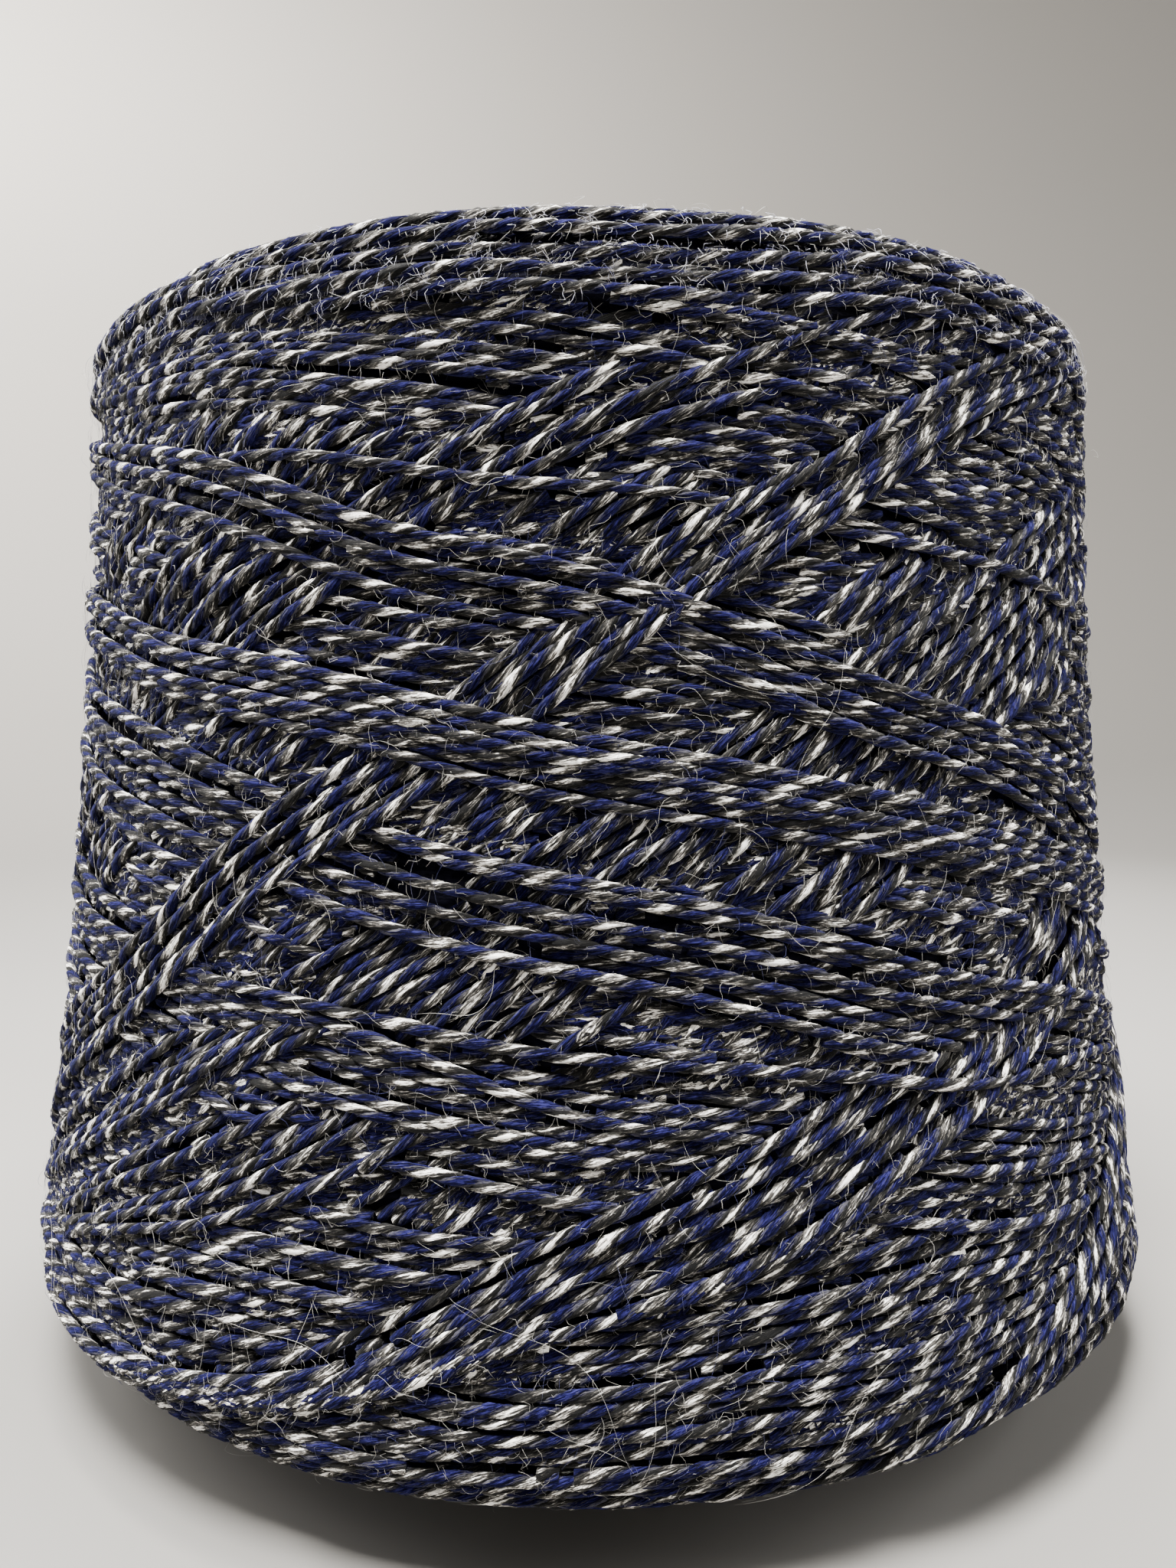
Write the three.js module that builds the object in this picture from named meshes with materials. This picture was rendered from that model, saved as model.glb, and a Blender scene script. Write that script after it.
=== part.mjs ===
// A cone of knitting yarn: a cross-wound yarn package on a tapered paper cone.
// Millimetres, +Z up. The origin is on the cone's axis, in the plane that the paper cone stands on.
import * as THREE from "three";

// ---- Paper cone ----
const coneLength = 170;
const coneBaseDiameter = 66;
const coneTaperDegrees = 4 + 20 / 60; // between the axis and the wall
const coneWall = 2.5;
const noseLipDepth = 6; // how far the paper folded in at the nose reaches down inside
const noseLipThickness = 1.4;
const rimRounding = 0.5; // on the outer edge of both ends

// ---- Yarn package ----
const packageBottom = 7; // bare paper cone below the yarn
const packageHeight = 150;
const packageBaseRadius = 90.5;
const packageTopRadius = 80.5;
const flankHollow = 1.8; // how far the flank sags in between its two firm ends
const baseShoulderWidth = 19;
const baseShoulderHeight = 11;
const topShoulderWidth = 22;
const topShoulderHeight = 10;

// ---- Outer layer of yarn ----
const yarnDiameter = 2;
const strokes = 12; // runs from the bottom to the top, evenly spaced round the package
const upTurns = 1 / 2; // on the way up, a steep run
const downTurns = 19 / 12; // on the way down, a shallow run
const turnBackShare = 0.45; // of each shoulder, measured from the flank, that the yarn climbs
const leadSteps = 8; // of each lead between the winding and the paper cone
const leadSwing = 0.06; // turns that a lead swings round the axis
const faceRise = 9; // length of shoulder, from the face, where the layers below come to the surface

// ---- Clearances ----
const seatGap = 0.3; // between pieces that touch
const crossingGap = 0.6; // between the yarn and itself where it crosses
const shoulderAllowance = 0.5; // more depth for the layers, where the yarn cuts the corners of the shoulders

// ---- Smoothness ----
const yarnSides = 6;
const downStepsPerTurn = 24;
const upStepsPerTurn = 48; // finer, because a steep run also bends over both shoulders
const roundSegments = 60;
const shoulderSegments = 8;
const flankSegments = 8;

const packageTop = packageBottom + packageHeight;
const flankBottom = packageBottom + baseShoulderHeight;
const flankTop = packageTop - topShoulderHeight;
const coneTaper = THREE.MathUtils.degToRad(coneTaperDegrees);
const yarnRadius = yarnDiameter / 2;

// ---- Depths below the package's surface ----
// A chord of the wound yarn lies at most its sag inside the circle that it stands for.
const downSag = packageBaseRadius * (1 - Math.cos(Math.PI / downStepsPerTurn));
const upSag = packageBaseRadius * (1 - Math.cos(Math.PI / upStepsPerTurn));
const downInset = yarnRadius;
const upInset = downInset + yarnDiameter + crossingGap + downSag;
const layersInset = upInset + yarnRadius + upSag + seatGap + shoulderAllowance;
const faceInset = yarnDiameter + 2 * seatGap;

// Outer radius of the paper cone at height z.
function coneRadius(z) {
  return coneBaseDiameter / 2 - z * Math.tan(coneTaper);
}

// ---- Outline of the yarn package ----
// It runs from the base shoulder's inner edge up the flank to the top shoulder's inner edge. Each
// stretch gives its point for t from 0 to 1, on the surface that lies inset inside the package's own.
function baseShoulder(t, inset) {
  const angle = ((t - 1) * Math.PI) / 2;
  return new THREE.Vector2(
    packageBaseRadius - baseShoulderWidth + (baseShoulderWidth - inset) * Math.cos(angle),
    flankBottom + (baseShoulderHeight - inset) * Math.sin(angle),
  );
}

function flank(t, inset) {
  const hollow = flankHollow * 4 * t * (1 - t);
  return new THREE.Vector2(
    THREE.MathUtils.lerp(packageBaseRadius, packageTopRadius, t) - hollow - inset,
    THREE.MathUtils.lerp(flankBottom, flankTop, t),
  );
}

function topShoulder(t, inset) {
  const angle = (t * Math.PI) / 2;
  return new THREE.Vector2(
    packageTopRadius - topShoulderWidth + (topShoulderWidth - inset) * Math.cos(angle),
    flankTop + (topShoulderHeight - inset) * Math.sin(angle),
  );
}

// Length of a stretch on the package's own surface.
function stretchLength(stretch) {
  const samples = 64;
  let length = 0;
  for (let i = 0; i < samples; i++) {
    length += stretch(i / samples, 0).distanceTo(stretch((i + 1) / samples, 0));
  }
  return length;
}

const baseLength = stretchLength(baseShoulder);
const flankLength = stretchLength(flank);
const topLength = stretchLength(topShoulder);
const outlineLength = baseLength + flankLength + topLength;

// The outline's point at a distance along it, on the surface that lies inset inside.
function outlinePoint(along, inset) {
  if (along < baseLength) return baseShoulder(along / baseLength, inset);
  if (along < baseLength + flankLength) return flank((along - baseLength) / flankLength, inset);
  return topShoulder((along - baseLength - flankLength) / topLength, inset);
}

// How deep the layers lie at a distance along the outline: 0 as at the faces, 1 as on the flank.
function depthShare(along) {
  const fromNearerFace = Math.min(along, outlineLength - along);
  return THREE.MathUtils.smoothstep(fromNearerFace, 0, faceRise);
}

// A solid of revolution about Z. LatheGeometry turns its profile about Y, so it is stood upright.
function lathe(profile) {
  const closed = [...profile, profile[0]];
  return new THREE.LatheGeometry(closed, roundSegments).rotateX(Math.PI / 2);
}

// ---- Paper cone and inner layers ----

// The rolled paper cone, open at both ends, with its nose folded in to a lip.
function paperCone() {
  const noseRadius = coneRadius(coneLength);
  const lipRadius = noseRadius - coneWall - noseLipThickness;
  const lipBottom = coneLength - noseLipDepth;
  const lipRoot = lipBottom - noseLipThickness;
  return lathe([
    new THREE.Vector2(coneRadius(0) - coneWall, 0),
    new THREE.Vector2(coneRadius(0) - rimRounding, 0),
    new THREE.Vector2(coneRadius(rimRounding), rimRounding),
    new THREE.Vector2(coneRadius(coneLength - rimRounding), coneLength - rimRounding),
    new THREE.Vector2(noseRadius - rimRounding, coneLength),
    new THREE.Vector2(lipRadius, coneLength),
    new THREE.Vector2(lipRadius, lipBottom),
    new THREE.Vector2(coneRadius(lipRoot) - coneWall, lipRoot),
  ]);
}

// All the yarn under the outer layer, as one solid with a tapered bore that seats on the paper cone.
function innerLayers() {
  const places = [];
  for (let i = 0; i < shoulderSegments; i++) {
    places.push((baseLength * i) / shoulderSegments);
  }
  for (let i = 0; i < flankSegments; i++) {
    places.push(baseLength + (flankLength * i) / flankSegments);
  }
  for (let i = 0; i <= shoulderSegments; i++) {
    places.push(baseLength + flankLength + (topLength * i) / shoulderSegments);
  }
  const surface = places.map((along) =>
    outlinePoint(along, THREE.MathUtils.lerp(faceInset, layersInset, depthShare(along))),
  );
  const bottom = surface[0].y;
  const top = surface[surface.length - 1].y;
  return lathe([
    new THREE.Vector2(coneRadius(bottom) + seatGap, bottom),
    ...surface,
    new THREE.Vector2(coneRadius(top) + seatGap, top),
  ]);
}

// ---- Route of the outer layer ----

// A point in space from a number of turns round the axis, a radius and a height.
function aroundAxis(turns, radius, height) {
  const angle = turns * 2 * Math.PI;
  return new THREE.Vector3(radius * Math.cos(angle), radius * Math.sin(angle), height);
}

function windingPoint(turns, along, inset) {
  const { x: radius, y: height } = outlinePoint(along, inset);
  return aroundAxis(turns, radius, height);
}

// A lead, from the paper cone to the end of the winding. It starts with a straight run of one yarn
// diameter, square to the cone, and crosses the face. The side is 1 for the bottom and -1 for the top.
function lead(windingTurns, windingAlong, side) {
  const faceAlong = side > 0 ? 0 : outlineLength;
  const { x: edgeRadius, y: faceHeight } = outlinePoint(faceAlong, yarnRadius);
  const startTurns = windingTurns - side * leadSwing;
  const points = [0, yarnDiameter].map((distance) =>
    aroundAxis(
      startTurns,
      coneRadius(faceHeight) + (seatGap + distance) * Math.cos(coneTaper),
      faceHeight + (distance - yarnDiameter) * Math.sin(coneTaper),
    ),
  );
  points.push(aroundAxis(startTurns, edgeRadius, faceHeight));
  for (let i = 1; i < leadSteps; i++) {
    const t = i / leadSteps;
    const along = THREE.MathUtils.lerp(faceAlong, windingAlong, t);
    const inset = THREE.MathUtils.lerp(yarnRadius, upInset, depthShare(along));
    points.push(windingPoint(startTurns + side * leadSwing * t * t, along, inset));
  }
  return points;
}

// Centreline of the outer layer, one unbroken line. The yarn climbs in steep runs that lie on the
// inner layers, and comes down in shallow runs that cross over them.
function yarnRoute() {
  const lowest = baseLength * (1 - turnBackShare);
  const highest = outlineLength - topLength * (1 - turnBackShare);
  const upSteps = Math.round(upTurns * upStepsPerTurn);
  const downSteps = Math.round(downTurns * downStepsPerTurn);
  const route = lead(0, lowest, 1);
  for (let stroke = 0; stroke < strokes; stroke++) {
    const bottomTurns = stroke * (upTurns + downTurns);
    const topTurns = bottomTurns + upTurns;
    for (let i = 0; i <= upSteps; i++) {
      const t = i / upSteps;
      const along = THREE.MathUtils.lerp(lowest, highest, t);
      route.push(windingPoint(bottomTurns + upTurns * t, along, upInset));
    }
    if (stroke === strokes - 1) {
      route.push(...lead(topTurns, highest, -1).reverse());
      break;
    }
    for (let i = 1; i < downSteps; i++) {
      const t = i / downSteps;
      const along = THREE.MathUtils.lerp(highest, lowest, t);
      route.push(windingPoint(topTurns + downTurns * t, along, downInset));
    }
  }
  return route;
}

// Least gap between a tube and itself, measured on points along its centreline. Points nearer to
// each other than a few diameters along the line are neighbours on the same run.
function leastGapToItself(line, diameter) {
  const spacing = diameter / 4;
  const neighbours = (4 * diameter) / spacing;
  const points = [];
  for (let i = 0; i + 1 < line.length; i++) {
    const pieces = Math.ceil(line[i].distanceTo(line[i + 1]) / spacing);
    for (let k = 0; k < pieces; k++) {
      points.push(line[i].clone().lerp(line[i + 1], k / pieces));
    }
  }
  let least = Infinity;
  for (let i = 0; i < points.length; i++) {
    for (let k = i + neighbours; k < points.length; k++) {
      least = Math.min(least, points[i].distanceToSquared(points[k]));
    }
  }
  return Math.sqrt(least) - diameter;
}

// A closed tube along a line of points.
function tube(line, radius, sides) {
  const vertices = [];
  const faces = [];
  let normal = new THREE.Vector3(0, 0, 1);
  line.forEach((point, i) => {
    const before = line[Math.max(i - 1, 0)];
    const after = line[Math.min(i + 1, line.length - 1)];
    const tangent = after.clone().sub(before).normalize();
    normal = normal.addScaledVector(tangent, -normal.dot(tangent)).normalize();
    const side = tangent.clone().cross(normal);
    for (let k = 0; k < sides; k++) {
      const angle = (k / sides) * 2 * Math.PI;
      const corner = point
        .clone()
        .addScaledVector(normal, radius * Math.cos(angle))
        .addScaledVector(side, radius * Math.sin(angle));
      vertices.push(corner.x, corner.y, corner.z);
    }
    if (i === 0) return;
    const ring = i * sides;
    for (let k = 0; k < sides; k++) {
      const next = (k + 1) % sides;
      faces.push(ring - sides + k, ring - sides + next, ring + next);
      faces.push(ring - sides + k, ring + next, ring + k);
    }
  });
  const lastRing = (line.length - 1) * sides;
  for (let k = 1; k < sides - 1; k++) {
    faces.push(0, k + 1, k);
    faces.push(lastRing, lastRing + k, lastRing + k + 1);
  }
  const geometry = new THREE.BufferGeometry();
  geometry.setAttribute("position", new THREE.Float32BufferAttribute(vertices, 3));
  geometry.setIndex(faces);
  geometry.computeVertexNormals();
  return geometry;
}

// ---- Assembly ----

function mesh(name, geometry, color, roughness) {
  const look = new THREE.MeshStandardMaterial({ color, roughness, metalness: 0 });
  const made = new THREE.Mesh(geometry, look);
  made.name = name;
  return made;
}

const outerLayer = yarnRoute();
const selfGap = leastGapToItself(outerLayer, yarnDiameter);
console.log(`Least gap of the outer layer to itself: ${selfGap.toFixed(2)} mm`);

const yarnCone = new THREE.Group();
yarnCone.add(
  mesh("paper_cone", paperCone(), 0xb9b2a4, 0.85),
  mesh("inner_yarn_layers", innerLayers(), 0x2a2c48, 0.95),
  mesh("outer_yarn_layer", tube(outerLayer, yarnRadius, yarnSides), 0x6d7089, 0.9),
);

export default yarnCone;
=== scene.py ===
"""A cone of marled knitting yarn, wound and dressed in Blender around its CAD frame.

Lengths are in millimetres unless a name says otherwise. MM turns them into Blender's metres.
"""

import math

import bpy
import numpy as np
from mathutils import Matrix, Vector


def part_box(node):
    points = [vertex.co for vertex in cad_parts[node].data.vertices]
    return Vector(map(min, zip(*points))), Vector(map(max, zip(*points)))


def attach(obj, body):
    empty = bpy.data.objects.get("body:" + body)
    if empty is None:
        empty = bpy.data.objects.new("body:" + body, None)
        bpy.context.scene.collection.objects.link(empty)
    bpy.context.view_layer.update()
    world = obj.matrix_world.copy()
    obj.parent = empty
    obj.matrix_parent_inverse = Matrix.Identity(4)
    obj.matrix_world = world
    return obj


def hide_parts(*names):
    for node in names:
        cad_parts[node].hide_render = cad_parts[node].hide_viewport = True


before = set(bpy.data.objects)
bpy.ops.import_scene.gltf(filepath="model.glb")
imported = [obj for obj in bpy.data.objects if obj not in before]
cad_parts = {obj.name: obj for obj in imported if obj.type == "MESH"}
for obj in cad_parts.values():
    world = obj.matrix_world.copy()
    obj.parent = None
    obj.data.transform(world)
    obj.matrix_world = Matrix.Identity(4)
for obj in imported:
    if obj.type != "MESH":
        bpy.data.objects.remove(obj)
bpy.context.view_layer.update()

MM = 0.001
TURN = 2 * math.pi
FRONT = -math.pi / 2  # the angle round the axis that faces the camera
rng = np.random.default_rng(7)


def node_box(node):
    """Lowest and highest corner of a CAD node, in millimetres."""
    low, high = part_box(node)
    return np.array(low) / MM, np.array(high) / MM


cone_low, cone_high = node_box("paper_cone")
outer_low, outer_high = node_box("outer_yarn_layer")

# ---- Paper cone ----
CONE_TAPER = math.radians(4 + 20 / 60)
CONE_BASE_RADIUS = (cone_high[0] - cone_low[0]) / 2

# ---- Yarn package, to the outer side of its strands ----
PACKAGE_BOTTOM = outer_low[2]
PACKAGE_TOP = outer_high[2]
BASE_RADIUS = (outer_high[0] - outer_low[0]) / 2
FLANK_TAPER = 10  # how much smaller the radius is at the top
TOP_RADIUS = BASE_RADIUS - FLANK_TAPER
FLANK_HOLLOW = 1.8  # how far the flank sinks in between its two ends
BASE_SHOULDER = (19, 11)  # width, height
TOP_SHOULDER = (22, 10)
FACE_DISH = 2  # how far both faces sink towards the paper cone

# ---- Yarn ----
YARN_DIAMETER = 1.35  # without its fuzz
PLY_PITCH = 6.7  # length of one turn of the two plies round each other
PLY_OFFSET = 0.27  # from the yarn's centre to a ply's
PLY_HALF_THICKNESS = 0.47  # across the two plies
PLY_HALF_WIDTH = 0.66  # along the seam between them


# ==== Outline of the package ====


def cone_radius(z):
    """Outer radius of the paper cone at a height."""
    return CONE_BASE_RADIUS - z * math.tan(CONE_TAPER)


def running_sum(steps):
    """0, and the sum of the steps up to each one."""
    return np.concatenate([[0], np.cumsum(steps)])


def outline_points():
    """The outline from the paper cone along the bottom, up the flank and back along the top.

    Its points, and the distances along it at which its five parts meet.
    """
    base_width, base_height = BASE_SHOULDER
    top_width, top_height = TOP_SHOULDER
    base_edge = BASE_RADIUS - base_width
    top_edge = TOP_RADIUS - top_width
    quarter = np.linspace(0, math.pi / 2, 60)
    t = np.linspace(0, 1, 200)
    bottom_core = cone_radius(PACKAGE_BOTTOM)
    top_core = cone_radius(PACKAGE_TOP)
    flank_height = PACKAGE_TOP - PACKAGE_BOTTOM - base_height - top_height
    bottom_face = (bottom_core + (base_edge - bottom_core) * t, FACE_DISH * (1 - t) ** 2)
    base_shoulder = (
        base_edge + base_width * np.sin(quarter),
        base_height * (1 - np.cos(quarter)),
    )
    flank = (
        BASE_RADIUS + (TOP_RADIUS - BASE_RADIUS) * t - FLANK_HOLLOW * 4 * t * (1 - t),
        base_height + flank_height * t,
    )
    height = PACKAGE_TOP - PACKAGE_BOTTOM
    top_shoulder = (
        top_edge + top_width * np.cos(quarter),
        height - top_height * (1 - np.sin(quarter)),
    )
    top_face = (top_edge + (top_core - top_edge) * t, height - FACE_DISH * t**2)
    parts = [
        np.column_stack(part)
        for part in (bottom_face, base_shoulder, flank, top_shoulder, top_face)
    ]
    lengths = [np.hypot(*np.diff(p, axis=0).T).sum() for p in parts]
    joined = np.concatenate([parts[0]] + [p[1:] for p in parts[1:]])
    joined[:, 1] += PACKAGE_BOTTOM
    return joined, running_sum(lengths)


def smooth(values, width):
    """Moving average over an odd number of samples, with the end values held."""
    width = int(width) // 2 * 2 + 1
    padded = np.pad(values, width // 2, mode="edge")
    return np.convolve(padded, np.ones(width) / width, mode="valid")


class Outline:
    """Radius, height and outward normal of the package at a distance along its outline."""

    STEP = 0.25
    NORMAL_BLUR = 7  # length over which the normals are averaged

    def __init__(self):
        points, self.marks = outline_points()
        distance = running_sum(np.hypot(*np.diff(points, axis=0).T))
        self.length = distance[-1]
        self.along = np.arange(0, self.length, self.STEP)
        self.radius = np.interp(self.along, distance, points[:, 0])
        self.height = np.interp(self.along, distance, points[:, 1])
        blur = self.NORMAL_BLUR / self.STEP
        self.normal_r = smooth(np.gradient(self.height, self.STEP), blur)
        self.normal_z = smooth(-np.gradient(self.radius, self.STEP), blur)
        length = np.hypot(self.normal_r, self.normal_z)
        self.normal_r /= length
        self.normal_z /= length

    def radius_at(self, along):
        return np.interp(along, self.along, self.radius)

    def place(self, along, angle, height):
        """Points in space at a height above the outline, and the outward normals there."""
        lines = self.radius, self.height, self.normal_r, self.normal_z
        r, z, nr, nz = (np.interp(along, self.along, line) for line in lines)
        c, s = np.cos(angle), np.sin(angle)
        radius = r + nr * height
        points = np.stack([radius * c, radius * s, z + nz * height], axis=-1)
        normals = np.stack([nr * c, nr * s, nz], axis=-1)
        return points, normals


outline = Outline()
FACE_START, BASE_START, FLANK_START, FLANK_END, FACE_EDGE, OUTLINE_END = outline.marks

# ==== Winding: where each stroke of the yarn runs over the package ====

SAMPLE = 0.4  # spacing of the winding's points
RUN_STEP = 0.5  # spacing along the outline of the points that shape a run
END_ZONE = 26  # at both ends of the traverse, where strands level off
END_SLOPE = 0.3  # share of the slope that is left where a strand turns back
END_BEND = 0.7  # power by which the slope comes back over the end zone


def run_shape(low, high, angle):
    """A run from low to high along the outline: distances along it and angles round the axis."""
    along = np.arange(low, high, RUN_STEP)
    from_end = np.minimum(along - low, high - along)
    share = END_SLOPE + (1 - END_SLOPE) * np.clip(from_end / END_ZONE, 0, 1) ** END_BEND
    turn_rate = 1 / (np.tan(angle * share) * outline.radius_at(along))
    return along, running_sum((turn_rate[1:] + turn_rate[:-1]) / 2 * RUN_STEP)


def run_down(low, high, angle):
    """A run like that from high to low."""
    along, angles = run_shape(low, high, angle)
    return along[::-1], angles[-1] - angles[::-1]


def front(degrees):
    """The angle round the axis of a place that many degrees to the right of the front."""
    return FRONT + math.radians(degrees)


def crossing(along, angles, height):
    """The angle at which a run crosses a height over the floor."""
    order = np.argsort(along)
    at = np.interp(height, outline.height, outline.along)
    return np.interp(at, along[order], angles[order])


class Bundle:
    """Strokes side by side: each climbs steeply to the right and comes down in a shallow run.

    climb and descent are where the first of them crosses: degrees to the right of the front,
    and height over the floor. Without a descent the yarn comes down where it is quickest.
    steep and shallow are slopes in degrees, spread the strokes' distance in yarn diameters.
    """

    START_REACH = (-18, 3)  # where bundles turn back, from the start of the flank
    END_REACH = (-3, 20)  # and from its end
    SHORTER = 1.7  # each stroke turns back this much sooner than the last
    WOBBLE = 1.2  # more or less, by up to this
    LEAN = 0.025  # spread of the strokes' slopes
    START_ROOM = 0.08  # least angle from a descent to the next climb
    END_ROOM = 0.05  # least angle from a climb to its descent
    QUICK_TURN = 0.15  # the same in a bundle without a given descent

    def __init__(self, strokes, climb, descent, steep, shallow, spread=1.0):
        self.strokes = strokes
        self.climb, self.descent = climb, descent
        self.steep, self.shallow = math.radians(steep), math.radians(shallow)
        self.spread = spread * YARN_DIAMETER
        self.reach = (rng.uniform(*self.START_REACH), rng.uniform(*self.END_REACH))
        self.wobble = rng.uniform(-self.WOBBLE, self.WOBBLE, (strokes, 2))
        self.lean = rng.normal(1, self.LEAN, (strokes, 2))

    def path(self, angle):
        """The bundle's path as distances along the outline and angles, from an angle onwards."""
        up_shift = self.spread / math.sin(self.steep) / BASE_RADIUS
        down_shift = self.spread / math.sin(self.shallow) / BASE_RADIUS
        down_at = None
        path_along, path_angle = [], []
        for stroke in range(self.strokes):
            low = FLANK_START + self.reach[0] + self.SHORTER * stroke + self.wobble[stroke][0]
            high = FLANK_END + self.reach[1] - self.SHORTER * stroke + self.wobble[stroke][1]
            up_along, up_angles = run_shape(low, high, self.steep * self.lean[stroke][0])
            down_along, down_angles = run_down(low, high, self.shallow * self.lean[stroke][1])
            up_at = front(self.climb[0]) + stroke * up_shift
            start = up_at - crossing(up_along, up_angles, self.climb[1])
            start += TURN * math.ceil((angle + self.START_ROOM - start) / TURN)
            top = start + up_angles[-1]
            if self.descent is not None:
                down_at = front(self.descent[0]) + stroke * down_shift
                down_start = down_at - crossing(down_along, down_angles, self.descent[1])
            elif down_at is None:
                down_start = down_at = top + self.QUICK_TURN
            else:
                down_start = down_at + stroke * down_shift
            down_start += TURN * math.ceil((top + self.END_ROOM - down_start) / TURN)
            path_along += [up_along, down_along]
            path_angle += [start + up_angles, down_start + down_angles]
            angle = path_angle[-1][-1]
        return np.concatenate(path_along), np.concatenate(path_angle)


class Cover:
    """A coarse count of the strands over each part of the package."""

    CELL = 4.0
    COLUMNS = 135

    def __init__(self):
        self.count = np.zeros((int(outline.length / self.CELL) + 1, self.COLUMNS))

    def cells(self, along, angle):
        rows = np.clip((along / self.CELL).astype(int), 0, len(self.count) - 1)
        return rows, (angle / TURN * self.COLUMNS).astype(int) % self.COLUMNS

    def bareness(self, along, angle):
        return np.exp(-self.count[self.cells(along, angle)]).mean()

    def add(self, along, angle):
        np.add.at(self.count, self.cells(along, angle), SAMPLE / self.CELL)


CORNER = 14  # length over which a corner is rounded


def resample(along, angle):
    """The same path with points SAMPLE apart, its corners rounded."""
    radius = outline.radius_at(along)
    step = np.hypot(np.diff(along), np.diff(angle) * (radius[1:] + radius[:-1]) / 2)
    distance = running_sum(step)
    wanted = np.arange(0, distance[-1], SAMPLE)
    width = CORNER / SAMPLE
    return (
        smooth(np.interp(wanted, distance, along), width),
        smooth(np.interp(wanted, distance, angle), width),
    )


def wander(count, wavelength, size):
    """A smooth random line of count samples that wanders by about size."""
    knots = int(count * SAMPLE / wavelength) + 4
    values = rng.normal(0, size, knots)
    x = np.linspace(0, knots - 1, count)
    return smooth(np.interp(x, np.arange(knots), values), wavelength / SAMPLE / 2)


SWAY_COUNT = 5  # waves that add up
SWAY_WAVES = (3, 12)  # their number round the package, from 3 to 11
SWAY_SIZE = 0.35
SWAY_CLIMB = 0.06  # most radians that they shift with each millimetre


def sway(along, angle):
    """How far a path swings aside; paths side by side swing alike, so they stay together."""
    swing = np.zeros(len(along))
    for waves in rng.integers(*SWAY_WAVES, SWAY_COUNT):
        climb = rng.uniform(-SWAY_CLIMB, SWAY_CLIMB)
        swing += SWAY_SIZE * np.sin(waves * angle + climb * along + rng.uniform(0, TURN))
    return swing


BUNDLE_SIZES = [  # strokes in each of the filling bundles
    6, 7, 5, 6, 5, 8, 4, 6, 7, 5, 6, 4, 6, 5, 7, 3, 5, 6, 4, 5, 6, 4, 5, 3, 6, 5, 4,
]
FACE_TURNS = 12  # how far the close turns reach over both faces
TRIES = 14  # start angles tried for each bundle, to cover the package evenly
STEEP = (25, 33)  # range of slopes of the filling bundles, in degrees
SHALLOW = (10, 17)
SPREAD = (0.97, 1.25)  # range of their strokes' distances, in yarn diameters
MIDDLE_HEIGHT = 85


class EndTurns:
    """Near-level turns close to both ends, where every stroke of the yarn turns back.

    bottom and top are where they lie: distances from the start and the end of the flank.
    """

    TURN_POINTS = 240
    CLIMB, DESCENT = math.radians(30), math.radians(14)
    ROOM = 0.1  # angle from each piece of the path to the next

    def __init__(self, bottom_turns, bottom, top_turns, top):
        self.bottom_turns, self.bottom = bottom_turns, np.add(bottom, FLANK_START)
        self.top_turns, self.top = top_turns, np.add(top, FLANK_END)

    def level(self, low, high, turns, angle):
        count = int(turns * self.TURN_POINTS)
        along = np.linspace(low, high, count) + wander(count, 25, 0.3)
        return along, angle + np.linspace(0, turns * TURN, count)

    def path(self, angle):
        low, high = self.bottom[1], self.top[0]
        up_along, up_angles = run_shape(low, high, self.CLIMB)
        down_along, down_angles = run_down(low, high, self.DESCENT)
        pieces = [self.level(*self.bottom, self.bottom_turns, angle + 2 * self.ROOM)]
        pieces.append((up_along, pieces[-1][1][-1] + up_angles))
        pieces.append(self.level(*self.top, self.top_turns, pieces[-1][1][-1] + self.ROOM))
        pieces.append((down_along, pieces[-1][1][-1] + self.ROOM + down_angles))
        return tuple(np.concatenate(part) for part in zip(*pieces))


# The last bundles, which show whole on the front, and the turns at the ends under them
LAST_BUNDLES = [
    EndTurns(30, (-18, 24), 21, (-14, 14)),
    Bundle(9, (36, 105), (20, 122), 31, 9),
    Bundle(7, (-70, 85), (-40, 85), 27, 14),
    Bundle(7, (-22, 69), (-15, 53), 28, 10),
    EndTurns(17, (-17, 8), 9, (2, 14)),
    Bundle(10, (14, 50), (24, 58), 24, 15),
    Bundle(1, (150, 80), (-3, 122), 30, 7),
    Bundle(6, (-3, 106), (-3, 106), 33, 18, 1.1),
    Bundle(6, (110, 80), (6, 86), 29, 12),
]

UNDER_SPACING = 0.98  # of the yarn's diameter, from one level turn to the next
UNDER_TURN_POINTS = 120


def under_turns():
    """Close level turns from the bottom to the top, which fill what the strokes leave open."""
    step = YARN_DIAMETER * UNDER_SPACING
    first, last = BASE_START - FACE_TURNS, FACE_EDGE + FACE_TURNS
    turns = (last - first) / step
    along = np.linspace(first, last, int(turns * UNDER_TURN_POINTS))
    return resample(along, (along - first) / step * TURN)


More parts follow.
